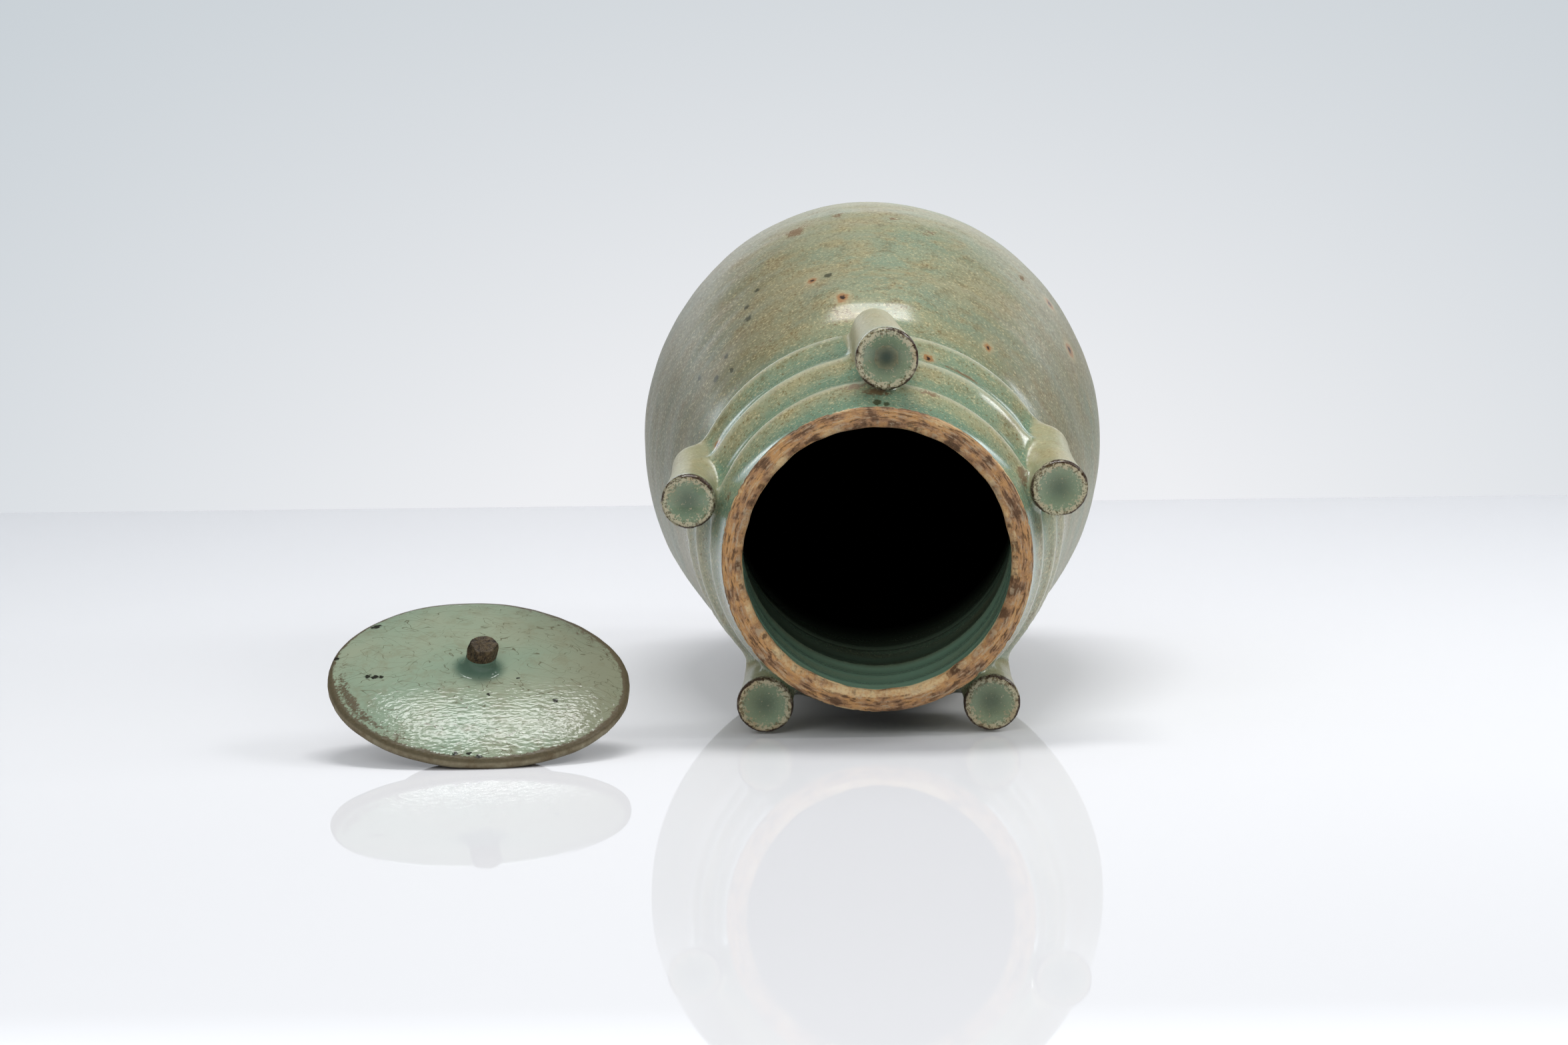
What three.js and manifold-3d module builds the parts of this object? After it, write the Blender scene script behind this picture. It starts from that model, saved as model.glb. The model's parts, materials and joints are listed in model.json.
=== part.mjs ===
// Five-spouted celadon jar with its cover, laid down side by side: the jar lies on its belly
// and its two lower spouts with the mouth towards -Y, and the cover leans beside it.
// Millimetres, +Z up, z = 0 is the surface that both lie on.
import * as THREE from 'three';
import Module from 'manifold-3d';
import { mergeVertices } from 'three/addons/utils/BufferGeometryUtils.js';

const wasm = await Module();
wasm.setup();

// Driving sizes of the jar. Depths are measured along its axis from the rim down.
const JAR_HEIGHT = 302;
const RIM_RADIUS = 44;
const RIM_FACE = 3.4; // width of the flat, bare top of the rim
const RIM_BEVEL = 0.5; // chamfer outside the flat
const RIM_ROUND_WIDTH = 2; // rounding inside the flat
const RIM_ROUND_DEPTH = 2.6;
const BELLY_RADIUS = 72.6;
const BELLY_DEPTH = 190;
const SHOULDER_RADIUS = 54.2; // at the seam where the ridged neck is luted to the body
const SHOULDER_DEPTH = 67;
const NECK_WALL = 8.6; // measured at the seam
const NECK_BORE_DEPTH = 12; // the straight part of the mouth
const UPPER_WALL = 6.2;
const LOWER_WALL = 5;
const FLOOR_THICKNESS = 7;
const FOOT_RADIUS = 42;
const FOOT_HEIGHT = 8;
const FOOT_WIDTH = 6.5;
const FOOT_SPLAY = 0.6;
const JOIN_GAP = 0.3; // seam left between luted pieces

// How much of the narrowing is done at each quarter of the way from the belly to the seam and to the foot.
const UPPER_CURVE = [0.115, 0.364, 0.652];
const LOWER_CURVE = [0.036, 0.125, 0.335];

// The three sharp ridges of the neck, from the seam up, with a hollow of this sag above each.
const LOW_RIDGE_OVERHANG = 1.6; // out past the seam
const LOW_RIDGE_RISE = 9; // above the seam
const MIDDLE_RIDGE_RADIUS = 52.6;
const MIDDLE_RIDGE_DEPTH = 37.5;
const HIGH_RIDGE_RADIUS = 48.1;
const HIGH_RIDGE_DEPTH = 19;
const RIDGE_SAG = 2.2;
const RIDGE_FLAT = 0.5; // blunt edge of each crest

// Spouts: blind tubes stood on the ridges, with a rounded root and a dished end.
const SPOUT_INSET = 0.5; // their ends' centres lie this far inside the lowest crest
const SPOUT_RADIUS = 8.3;
const SPOUT_END_DEPTH = 9.8;
const SPOUT_ROOT_DEPTH = 50;
const SPOUT_NOSE = 10; // length of the rounded root beyond that
const SPOUT_LIP = 0.8;
const SPOUT_DISH_RADIUS = 6.9;
const SPOUT_DISH_DEPTH = 2.6;
const SPOUT_LEAN_IN = 1; // the roots' centres lie this much nearer the axis than the ends'

// How far each hand-set spout strays from its fifth of the turn, and how far its root strays from its end.
const SPOUTS = [
  { name: 'spout_top', strayDegrees: -3.5, swayDegrees: 4.5 },
  { name: 'spout_upper_left', strayDegrees: 1.6, swayDegrees: 0 },
  { name: 'spout_lower_left', strayDegrees: -0.3, swayDegrees: 0 },
  { name: 'spout_lower_right', strayDegrees: 0.3, swayDegrees: 0 },
  { name: 'spout_upper_right', strayDegrees: 0.9, swayDegrees: 4.5 },
];

// Cover: a slightly domed plate with a locating collar below and the stub of a knob on top.
const COVER_RADIUS = 42.4;
const COVER_EDGE = 2.8;
const COVER_EDGE_BEVEL = 1;
const COVER_RISE = 4.2;
const COLLAR_RADIUS = 22.6;
const COLLAR_WALL = 4.5;
const COLLAR_HEIGHT = 8.9;
const KNOB_RADIUS = 4.3;
const KNOB_HEIGHT = 7.9;
const KNOB_FILLET = 2; // hollow foot of the knob
const KNOB_BREAK = 0.7; // worn edge of the broken end
const COVER_TURN = THREE.MathUtils.degToRad(9.2); // its low side faces this far right of -Y
const COVER_OFFSET_X = 113.1; // from the jar's axis
const COVER_OFFSET_Y = 10; // towards the viewer from the mouth's plane

const TURN_STEPS = 48;
const CURVE_STEPS = 3; // per quarter of the body's outline
const HOLLOW_STEPS = 5; // per hollow between ridges
const SPOUT_STEPS = 20;
const KNOB_STEPS = 16;

const GLAZE = new THREE.MeshStandardMaterial({ color: 0x8fa38c, roughness: 0.22 });
const COVER_GLAZE = new THREE.MeshStandardMaterial({ color: 0x9db29d, roughness: 0.25 });
const BISCUIT = new THREE.MeshStandardMaterial({ color: 0x9a7048, roughness: 0.85 });
const STUB = new THREE.MeshStandardMaterial({ color: 0x5a4436, roughness: 0.8 });

const at = (radius, depth) => new THREE.Vector2(radius, JAR_HEIGHT - depth);
const between = (from, to, share) => from + (to - from) * share;

// A revolved solid about +Z. The profile starts and ends on the axis, or is closed here.
function revolve(profile, steps = TURN_STEPS) {
  const points = profile[0].x === 0 ? profile : [...profile, profile[0].clone()];
  return new THREE.LatheGeometry(points, steps).rotateX(Math.PI / 2);
}

function toSolid(geometry) {
  const bare = geometry.clone();
  bare.deleteAttribute('normal');
  bare.deleteAttribute('uv');
  const merged = mergeVertices(bare, 1e-4);
  return new wasm.Manifold(
    new wasm.Mesh({
      numProp: 3,
      vertProperties: merged.attributes.position.array,
      triVerts: new Uint32Array(merged.index.array),
    }),
  );
}

function toGeometry(solid) {
  const mesh = solid.getMesh();
  const geometry = new THREE.BufferGeometry();
  geometry.setAttribute('position', new THREE.BufferAttribute(new Float32Array(mesh.vertProperties), 3));
  geometry.setIndex(new THREE.BufferAttribute(new Uint32Array(mesh.triVerts), 1));
  geometry.computeVertexNormals();
  return geometry;
}

function named(name, geometry, material) {
  const mesh = new THREE.Mesh(geometry, material);
  mesh.name = name;
  return mesh;
}

// One smooth outline from the foot past the belly to the seam, split at the belly.
function bodyOutline(inset = 0) {
  const narrowed = (radius, endDepth, curve) =>
    [...curve, 1].map((done, i) => {
      const share = (i + 1) / (curve.length + 1);
      return at(between(BELLY_RADIUS, radius, done) - inset, between(BELLY_DEPTH, endDepth, share));
    });
  const below = narrowed(FOOT_RADIUS, JAR_HEIGHT - FOOT_HEIGHT, LOWER_CURVE).reverse();
  const above = narrowed(SHOULDER_RADIUS, SHOULDER_DEPTH, UPPER_CURVE);
  const knots = [...below, at(BELLY_RADIUS - inset, BELLY_DEPTH), ...above];
  const points = new THREE.SplineCurve(knots).getPoints((knots.length - 1) * CURVE_STEPS);
  const belly = below.length * CURVE_STEPS;
  return { lower: points.slice(0, belly + 1), upper: points.slice(belly) };
}

const lowRidge = at(SHOULDER_RADIUS + LOW_RIDGE_OVERHANG, SHOULDER_DEPTH - LOW_RIDGE_RISE);
const middleRidge = at(MIDDLE_RIDGE_RADIUS, MIDDLE_RIDGE_DEPTH);
const highRidge = at(HIGH_RIDGE_RADIUS, HIGH_RIDGE_DEPTH);

// Outline of the ridged neck, from the seam up to the rim: a hollow leads from each crest to the next.
function neckOutline() {
  const seam = at(SHOULDER_RADIUS, SHOULDER_DEPTH);
  const stops = [seam, lowRidge, middleRidge, highRidge, at(RIM_RADIUS, RIM_BEVEL)];
  const points = [seam, lowRidge];
  for (let i = 1; i < stops.length - 1; i++) {
    const from = stops[i].clone().add(new THREE.Vector2(0, RIDGE_FLAT));
    const to = stops[i + 1];
    const middle = new THREE.Vector2(between(from.x, to.x, 0.5) - 2 * RIDGE_SAG, between(from.y, to.y, 0.5));
    points.push(...new THREE.QuadraticBezierCurve(from, middle, to).getPoints(HOLLOW_STEPS));
  }
  return points;
}

function upperBody() {
  const outer = bodyOutline().upper;
  const inner = bodyOutline(UPPER_WALL).upper.reverse();
  [outer.at(-1), inner[0]].forEach((p) => (p.y -= JOIN_GAP));
  return revolve([...outer, ...inner]);
}

function lowerBody() {
  const outer = bodyOutline().lower;
  const floor = FOOT_HEIGHT + FLOOR_THICKNESS;
  const inner = bodyOutline(LOWER_WALL).lower.filter((p) => p.y > floor + FLOOR_THICKNESS / 4);
  [outer.at(-1), inner.at(-1)].forEach((p) => (p.y -= JOIN_GAP));
  const underside = at(0, JAR_HEIGHT - FOOT_HEIGHT);
  const well = new THREE.Vector2(between(0, inner[0].x, 0.75), floor);
  const middle = new THREE.Vector2(0, floor);
  return revolve([underside, ...outer, ...inner.reverse(), well, middle]);
}

function footRing() {
  const top = FOOT_HEIGHT - JOIN_GAP;
  const inside = FOOT_RADIUS - FOOT_WIDTH;
  return revolve([
    new THREE.Vector2(inside + FOOT_SPLAY, 0),
    new THREE.Vector2(FOOT_RADIUS, 0),
    new THREE.Vector2(FOOT_RADIUS + FOOT_SPLAY, FOOT_SPLAY),
    new THREE.Vector2(FOOT_RADIUS, top),
    new THREE.Vector2(inside - FOOT_SPLAY, top),
    new THREE.Vector2(inside, FOOT_SPLAY),
  ]);
}

function neckWall() {
  const flat = RIM_RADIUS - RIM_BEVEL - RIM_FACE;
  const bore = flat - RIM_ROUND_WIDTH;
  const seam = SHOULDER_RADIUS - NECK_WALL;
  const rim = [at(RIM_RADIUS - RIM_BEVEL, 0)];
  for (let i = 0; i <= 4; i++) {
    const a = (i / 4) * (Math.PI / 2);
    rim.push(at(flat - RIM_ROUND_WIDTH * Math.sin(a), RIM_ROUND_DEPTH * (1 - Math.cos(a))));
  }
  const inner = new THREE.QuadraticBezierCurve(
    at(bore, NECK_BORE_DEPTH),
    at(between(bore, seam, 0.3), between(NECK_BORE_DEPTH, SHOULDER_DEPTH, 0.55)),
    at(seam, SHOULDER_DEPTH),
  ).getPoints(6);
  return revolve([...neckOutline(), ...rim, ...inner]);
}

// One blind spout along +Z with its end at z = 0, before it is fitted to the wall.
function spoutBlank() {
  const root = SPOUT_END_DEPTH - SPOUT_ROOT_DEPTH;
  const profile = [];
  for (let i = 0; i <= 5; i++) {
    const a = (i / 5) * (Math.PI / 2);
    const radius = i === 0 ? 0 : SPOUT_RADIUS * Math.sin(a);
    profile.push(new THREE.Vector2(radius, root - SPOUT_NOSE * Math.cos(a)));
  }
  profile.push(new THREE.Vector2(SPOUT_RADIUS, -SPOUT_LIP));
  profile.push(new THREE.Vector2(between(SPOUT_DISH_RADIUS, SPOUT_RADIUS, 0.6), 0));
  for (let i = 0; i <= 4; i++) {
    const a = (i / 4) * (Math.PI / 2);
    const radius = i === 4 ? 0 : SPOUT_DISH_RADIUS * Math.cos(a);
    profile.push(new THREE.Vector2(radius, -SPOUT_DISH_DEPTH * Math.sin(a)));
  }
  return revolve(profile, SPOUT_STEPS);
}

// The jar without spouts, swollen by the seam, which the spouts are fitted against.
function fittingSolid() {
  const { lower, upper } = bodyOutline();
  const outline = [...lower, ...upper.slice(1), ...neckOutline().slice(1)];
  const swollen = outline.map((p) => new THREE.Vector2(p.x + JOIN_GAP, p.y));
  return toSolid(revolve([at(0, JAR_HEIGHT - FOOT_HEIGHT), ...swollen, at(0, 0)]));
}

// Middle of a spout at its end (1) or its root (0), in the jar's own frame.
function spoutMiddle(i, share) {
  const { strayDegrees, swayDegrees } = SPOUTS[i];
  const fifth = 90 + (i * 360) / SPOUTS.length;
  const angle = THREE.MathUtils.degToRad(fifth + strayDegrees + between(swayDegrees, 0, share));
  const circle = lowRidge.x - SPOUT_INSET - between(SPOUT_LEAN_IN, 0, share);
  const depth = between(SPOUT_ROOT_DEPTH, SPOUT_END_DEPTH, share);
  return new THREE.Vector3(circle * Math.cos(angle), circle * Math.sin(angle), JAR_HEIGHT - depth);
}

function spouts() {
  const fitting = fittingSolid();
  const up = new THREE.Vector3(0, 0, 1);
  return SPOUTS.map(({ name }, i) => {
    const end = spoutMiddle(i, 1);
    const along = end.clone().sub(spoutMiddle(i, 0)).normalize();
    const turn = new THREE.Quaternion().setFromUnitVectors(up, along);
    const blank = spoutBlank().applyQuaternion(turn).translate(end.x, end.y, end.z);
    const pieces = toSolid(blank).subtract(fitting).decompose();
    const fitted = pieces.sort((a, b) => b.volume() - a.volume())[0];
    return named(name, toGeometry(fitted), GLAZE);
  });
}

function coverPlate() {
  const top = COLLAR_HEIGHT + COVER_EDGE;
  const profile = [
    new THREE.Vector2(0, COLLAR_HEIGHT),
    new THREE.Vector2(COVER_RADIUS - COVER_EDGE_BEVEL, COLLAR_HEIGHT),
    new THREE.Vector2(COVER_RADIUS, COLLAR_HEIGHT + COVER_EDGE_BEVEL),
    new THREE.Vector2(COVER_RADIUS, top),
  ];
  for (let i = 1; i <= 8; i++) {
    const share = 1 - i / 8;
    profile.push(new THREE.Vector2(COVER_RADIUS * share, top + COVER_RISE * (1 - share ** 2.4)));
  }
  return revolve(profile);
}

function coverCollar() {
  const top = COLLAR_HEIGHT - JOIN_GAP;
  return revolve([
    new THREE.Vector2(COLLAR_RADIUS - COLLAR_WALL, 0),
    new THREE.Vector2(COLLAR_RADIUS, 0),
    new THREE.Vector2(COLLAR_RADIUS, top),
    new THREE.Vector2(COLLAR_RADIUS - COLLAR_WALL, top),
  ]);
}

function coverKnob() {
  const base = COLLAR_HEIGHT + COVER_EDGE + COVER_RISE + JOIN_GAP;
  const end = base + KNOB_HEIGHT;
  const profile = [new THREE.Vector2(0, base)];
  for (let i = 0; i <= 4; i++) {
    const a = (i / 4) * (Math.PI / 2);
    const radius = KNOB_RADIUS + KNOB_FILLET * (1 - Math.sin(a));
    profile.push(new THREE.Vector2(radius, base + 2 * KNOB_FILLET * (1 - Math.cos(a))));
  }
  profile.push(new THREE.Vector2(KNOB_RADIUS, end - KNOB_BREAK));
  profile.push(new THREE.Vector2(KNOB_RADIUS - KNOB_BREAK, end));
  profile.push(new THREE.Vector2(0, end));
  return revolve(profile, KNOB_STEPS);
}

// Lean of the axis at which the belly and the lower spouts reach the surface together.
function layDown() {
  const low = Math.max(...SPOUTS.map((_, i) => -spoutMiddle(i, 1).y)) + SPOUT_RADIUS;
  const tip = JAR_HEIGHT - SPOUT_END_DEPTH - SPOUT_LIP;
  const { lower, upper } = bodyOutline();
  const outline = [...lower, ...upper];
  const reach = (lean) => Math.max(...outline.map((p) => p.x * Math.cos(lean) + p.y * Math.sin(lean)));
  let from = 0;
  let to = Math.PI / 6;
  for (let i = 0; i < 40; i++) {
    const middle = (from + to) / 2;
    if (low * Math.cos(middle) + tip * Math.sin(middle) < reach(middle)) from = middle;
    else to = middle;
  }
  return { lean: from, lift: reach(from) };
}

const jar = new THREE.Group();
jar.add(
  named('upper_body', upperBody(), GLAZE),
  named('lower_body', lowerBody(), GLAZE),
  named('foot_ring', footRing(), BISCUIT),
  named('ridged_neck', neckWall(), GLAZE),
  ...spouts(),
);
const { lean, lift } = layDown();
jar.rotation.x = Math.PI / 2 + lean;
jar.position.z = lift;

// The cover rests on its edge and on its collar's edge, so their line sets how far it leans.
const cover = new THREE.Group();
cover.add(
  named('cover_plate', coverPlate(), COVER_GLAZE),
  named('cover_collar', coverCollar(), BISCUIT),
  named('cover_knob', coverKnob(), STUB),
);
cover.rotation.order = 'ZYX';
cover.rotation.x = Math.atan2(COLLAR_HEIGHT, COVER_RADIUS - COVER_EDGE_BEVEL - COLLAR_RADIUS);
cover.rotation.z = COVER_TURN;
const mouthY = -JAR_HEIGHT * Math.cos(lean);
cover.position.set(-COVER_OFFSET_X, mouthY - COVER_OFFSET_Y, 0);
cover.position.z = -new THREE.Box3().setFromObject(cover, true).min.z;

// The origin is under the middle of the box that both pieces fill.
const part = new THREE.Group();
part.add(jar, cover);
const middle = new THREE.Box3().setFromObject(part, true).getCenter(new THREE.Vector3());
part.children.forEach((piece) => piece.position.sub(new THREE.Vector3(middle.x, middle.y, 0)));
part.updateMatrixWorld(true);

export default part;
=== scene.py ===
"""Five-spouted celadon jar lying beside its cover, on a glossy white board under a soft studio light.

Metres, +Z up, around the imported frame. Sizes written in millimetres carry MM.
"""
import json
import math
from functools import partial

import bmesh
import bpy
import numpy as np
from mathutils import Euler, Matrix, Vector, noise


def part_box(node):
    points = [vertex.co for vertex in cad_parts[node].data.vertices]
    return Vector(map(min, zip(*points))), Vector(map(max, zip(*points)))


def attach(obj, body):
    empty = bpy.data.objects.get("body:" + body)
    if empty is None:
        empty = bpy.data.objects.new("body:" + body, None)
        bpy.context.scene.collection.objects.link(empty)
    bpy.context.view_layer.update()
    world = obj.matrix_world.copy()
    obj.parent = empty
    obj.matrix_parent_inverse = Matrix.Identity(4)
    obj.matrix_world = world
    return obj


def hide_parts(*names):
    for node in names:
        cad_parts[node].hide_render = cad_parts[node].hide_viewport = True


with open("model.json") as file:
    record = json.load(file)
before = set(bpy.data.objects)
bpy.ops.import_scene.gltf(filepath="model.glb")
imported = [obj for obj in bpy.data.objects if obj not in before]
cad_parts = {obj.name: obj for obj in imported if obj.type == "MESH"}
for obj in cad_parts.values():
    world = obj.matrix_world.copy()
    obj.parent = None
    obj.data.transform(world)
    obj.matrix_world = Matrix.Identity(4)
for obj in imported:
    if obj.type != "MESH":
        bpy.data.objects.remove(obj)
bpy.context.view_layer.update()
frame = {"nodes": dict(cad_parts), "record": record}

MM = 0.001

# The photograph's camera, in millimetres and degrees, placed from the middle of the jar's mouth.
CAMERA_LENS = 114.8
CAMERA_RIGHT = -10.8
CAMERA_BACK = 1408.5
CAMERA_HEIGHT = 180.5
CAMERA_PITCH = 4.79
CAMERA_YAW = 0.63
CAMERA_ROLL = -0.71
BACKDROP_Y = 0.72

# Jar, in millimetres. Depths are measured along its axis from the rim down.
RIM_RADIUS = 44.0
RIM_FLAT_IN = 40.7
RIM_BEVEL = 3.0
RIM_GAP = 0.8
SEAM_LAP = 0.3
BORE_RADIUS = 38.1
SHOULDER_RADIUS = 54.2
SHOULDER_DEPTH = 67.0
BELLY_RADIUS = 72.6
BELLY_DEPTH = 190.0
FOOT_RADIUS = 42.0
FOOT_HEIGHT = 8.0
UPPER_CURVE = (0.115, 0.364, 0.652)
LOWER_CURVE = (0.036, 0.125, 0.335)
WALL = 6.2
FLOOR_THICKNESS = 7.0

# Crests of the neck's ridges: radius, depth and how far the hollow above each sags.
RIDGES = ((48.1, 19.0, 1.1), (52.6, 37.5, 2.3), (55.8, 58.0, 2.0))
# Throwing steps inside the mouth: radius, depth and how far the band above each bellies out.
BORE_STEPS = (
    (BORE_RADIUS, 8.5, -0.2),
    (38.4, 22.0, -0.35),
    (39.0, 38.0, -0.9),
    (40.4, 62.0, -1.2),
    (41.2, 73.0, -0.5),
)
# Inner wall below the neck, narrower than the even wall: radius and depth, and where the even wall begins.
THROAT = ((41.3, 72), (42.4, 92), (44.5, 112), (49, 130), (56, 144))
THROAT_END = 154.0
# How jade green the glaze inside the mouth is at each depth.
JADE_STEPS = ((0, 0.3), (6, 0.8), (9, 1), (21, 0.75), (24, 1), (35, 0.9), (39, 0.25), (50, 0.7), (67, 0.4))
# Painted shade deep inside the jar: how black the inside is painted at each depth.
PAINTED_INTERIOR_SHADE = ((34.0, 0.0), (39.0, 0.5), (62.0, 0.64), (66.0, 0.78), (92.0, 0.94), (106.0, 1.0))

# Spouts: angles of the end and the root round the axis in degrees, distances of both from it, depth of the
# end, radius, depth of the dish, how much narrower the root is and how far the middle is drawn in.
SPOUTS = (
    (86.5, 89.7, 56.2, 57.3, 9.4, 9.2, 3.6, 2.5, 0.2),
    (163.6, 162.0, 55.8, 55.4, 8.6, 8.1, 2.2, 1.4, 0.8),
    (233.7, 233.7, 55.0, 53.2, 10.4, 8.4, 2.2, 1.4, 0.5),
    (306.3, 306.3, 55.0, 53.2, 10.0, 8.4, 2.2, 1.4, 0.5),
    (18.9, 23.6, 55.2, 54.0, 10.6, 8.5, 2.2, 1.4, 0.9),
)
SPOUT_ROOT_DEPTH = 51.0
SPOUT_NOSE = 10.0
SPOUT_LIP = 1.6
SPOUT_ROUNDING = 1.6
DISH_ROUNDING = 1.4
# What the rule that grows the neck and its spouts is given: sizes in millimetres, and a share of the taper.
NECK_RULE = {
    "Rim Radius": RIM_RADIUS,
    "Bore Radius": BORE_RADIUS,
    "Spout Taper": 1.0,
    "Blend": 8.5,
    "Wobble": 0.35,
    "Cell": 0.83,
}

# Cover, in millimetres above the underside of its plate.
COVER_RADIUS = 42.4
COVER_EDGE = 2.8
COVER_RISE = 4.2
COLLAR_RADIUS = 22.6
COLLAR_WALL = 4.5
KNOB_RADIUS = 4.25
KNOB_FOOT_RADIUS = 6.6
KNOB_FOOT_HEIGHT = 3.7
KNOB_HEIGHT = 7.9
KNOB_LEAN = 1.2
KNOB_BASE = COVER_EDGE + COVER_RISE
# Faces of the broken knob: direction and distance from its middle.
KNOB_BREAKS = (
    ((0.06, -0.16, 0.985), 7.5),
    ((0.62, 0.2, 0.76), 8.1),
    ((0.1, -0.93, 0.36), 5.6),
    ((-0.9, -0.38, 0.2), 4.9),
    ((0.82, -0.52, 0.22), 4.7),
)

# Faces round each turned piece.
AROUND = {"body": 320, "rim": 760, "foot": 240, "cover": 360, "stub": 120, "collar": 200}

# Rust-coloured pits in the glaze: angle round the jar in degrees, depth and radius.
PITS = (
    (151.1, 46.5, 1.3), (72.5, 47.5, 1.5), (53.9, 84.0, 1.2),
    (38.3, 177.5, 1.6), (28.0, 158.5, 1.8), (98.3, 90.5, 1.6),
    (106.3, 118.0, 1.2),
)
# Green-black spots: angle round the jar in degrees, depth and radius.
SPOTS = (
    (125.8, 124.7, 0.9), (126.1, 114.1, 1.3), (136.2, 99.6, 1.0),
    (136.4, 86.5, 0.9), (101.7, 118.3, 1.3), (121.6, 134.3, 0.8),
    (142.0, 92.0, 1.3), (147.0, 108.0, 1.1), (89.5, 5.6, 1.7),
    (86.0, 4.6, 1.3),
)
# The photograph looks almost along the jar, so its marks are taken as longer down the jar than round it.
MARK_SQUEEZE = 0.5
MARK_CIRCLE = 60.0
# Brown stains where glaze ran thin: angle in degrees, depth, length along the turn and width.
STAINS = (
    (158.4, 10.5, 5.0, 4.0), (97.0, 17.0, 5.5, 2.6), (70.0, 17.5, 6.5, 3.0),
    (27.0, 15.8, 4.5, 4.5), (90.0, 13.0, 8.0, 3.0), (108.5, 178.0, 4.5, 9.0),
    (75.6, 166.0, 5.0, 9.0), (98.2, 190.0, 3.5, 9.0), (84.0, 180.0, 3.0, 6.0),
    (60.0, 46.0, 9.0, 2.6), (48.5, 172.0, 1.6, 6.0),
)

# Black marks on the cover: place on the plate and radius.
COVER_SPOTS = (
    (-31.2, -0.6, 1.1), (-29.3, -1.4, 1.1), (-27.7, -2.0, 0.7),
    (-26.7, 29.1, 1.5), (-39.0, 13.0, 0.9), (-10.0, -38.6, 0.8),
    (-6.4, -38.9, 0.7), (-3.6, -40.2, 0.8), (1.2, -14.0, 0.7),
    (10.5, -5.9, 0.5), (19.7, -17.2, 0.9),
)


def corners_of(node):
    """Every corner of a node's mesh once."""
    mesh = frame["nodes"][node].data
    points = np.empty(len(mesh.vertices) * 3)
    mesh.vertices.foreach_get("co", points)
    return np.unique(points.reshape(-1, 3).round(7), axis=0)


def standing(origin, axis):
    """Frame with +Z along an axis and a level +X, for a piece turned about that axis."""
    side = Vector((0, 0, 1)).cross(axis).normalized()
    rows = (side, axis.cross(side), axis)
    return Matrix.Translation(origin) @ Matrix(rows).transposed().to_4x4()


MOUNTS = {mount["name"]: mount for mount in frame["record"]["mounts"]}
NECK_LOW, NECK_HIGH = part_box("ridged_neck")
MOUTH_CENTRE = Vector(MOUNTS["mouth_rim"]["pos_m"])
MOUTH_CENTRE.x = (NECK_LOW.x + NECK_HIGH.x) / 2
JAR_AXIS = Vector(MOUNTS["mouth_rim"]["axis"]).normalized()
JAR_HEIGHT = (Vector(MOUNTS["mouth_rim"]["pos_m"]) - Vector(MOUNTS["foot"]["pos_m"])).dot(JAR_AXIS) / MM
JAR = standing(MOUTH_CENTRE, JAR_AXIS)

# A turned node's corners lie evenly round its axis, so two means give the cover's axis.
PLATE_CORNERS = corners_of("cover_plate")
PLATE_MIDDLE = Vector(PLATE_CORNERS.mean(axis=0))
COVER_AXIS = (Vector(corners_of("cover_knob").mean(axis=0)) - PLATE_MIDDLE).normalized()
PLATE_BASE = (PLATE_CORNERS @ np.array(COVER_AXIS)).min() - PLATE_MIDDLE.dot(COVER_AXIS)
COVER = standing(PLATE_MIDDLE + COVER_AXIS * PLATE_BASE, COVER_AXIS)


def colour(text):
    """A colour written as sRGB hex, turned to the linear values that the shaders take."""
    values = [int(text[i : i + 2], 16) / 255 for i in (1, 3, 5)]
    return [v / 12.92 if v <= 0.04045 else ((v + 0.055) / 1.055) ** 2.4 for v in values] + [1.0]


# The kinds of node that are used most, some with their settings.
MATH, VECTOR, RANGE = "ShaderNodeMath", "ShaderNodeVectorMath", "ShaderNodeMapRange"
NOISE, MIX = "ShaderNodeTexNoise", ("ShaderNodeMix", {"data_type": "RGBA"})
PLUS, MINUS, TIMES, OVER, LARGER, UNSIGNED, TIMES_PLUS = (
    (MATH, {"operation": operation})
    for operation in ("ADD", "SUBTRACT", "MULTIPLY", "DIVIDE", "MAXIMUM", "ABSOLUTE", "MULTIPLY_ADD")
)


def add_node(tree, kind, inputs=None, **properties):
    """Adds one node. Inputs go by name or place: a node or socket is linked, anything else is set."""
    kind, settings = kind if isinstance(kind, tuple) else (kind, {})
    made = tree.nodes.new(kind)
    for key, value in {**settings, **properties}.items():
        setattr(made, key, value)
    for key, value in (inputs or {}).items():
        if isinstance(value, bpy.types.Node):
            value = next(output for output in value.outputs if output.enabled)
        if isinstance(value, bpy.types.NodeSocket):
            tree.links.new(value, made.inputs[key])
        else:
            made.inputs[key].default_value = value
    return made


def new_material(name):
    """An empty material, and the call that adds a node to it."""
    material = bpy.data.materials.new(name)
    material.use_nodes = True
    material.node_tree.nodes.clear()
    return material, partial(add_node, material.node_tree)


def nearest_mark(add, place, table):
    """How far each place is from the nearest of the table's marks, in radii of that mark."""
    nearest = 99.0
    for centre, radius in table:
        away = add(VECTOR, {0: place, 1: centre}, operation="DISTANCE")
        away = add(OVER, {0: away, 1: radius})
        nearest = add(MATH, {0: away, 1: nearest}, operation="MINIMUM")
    return nearest


def round_table(table):
    """Centres and radii of the jar's marks on the cylinder that its glaze is unrolled on."""
    for degrees, depth, radius in table:
        turn = math.radians(degrees)
        yield (MARK_CIRCLE * math.cos(turn), MARK_CIRCLE * math.sin(turn), -depth * MARK_SQUEEZE), radius


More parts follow.
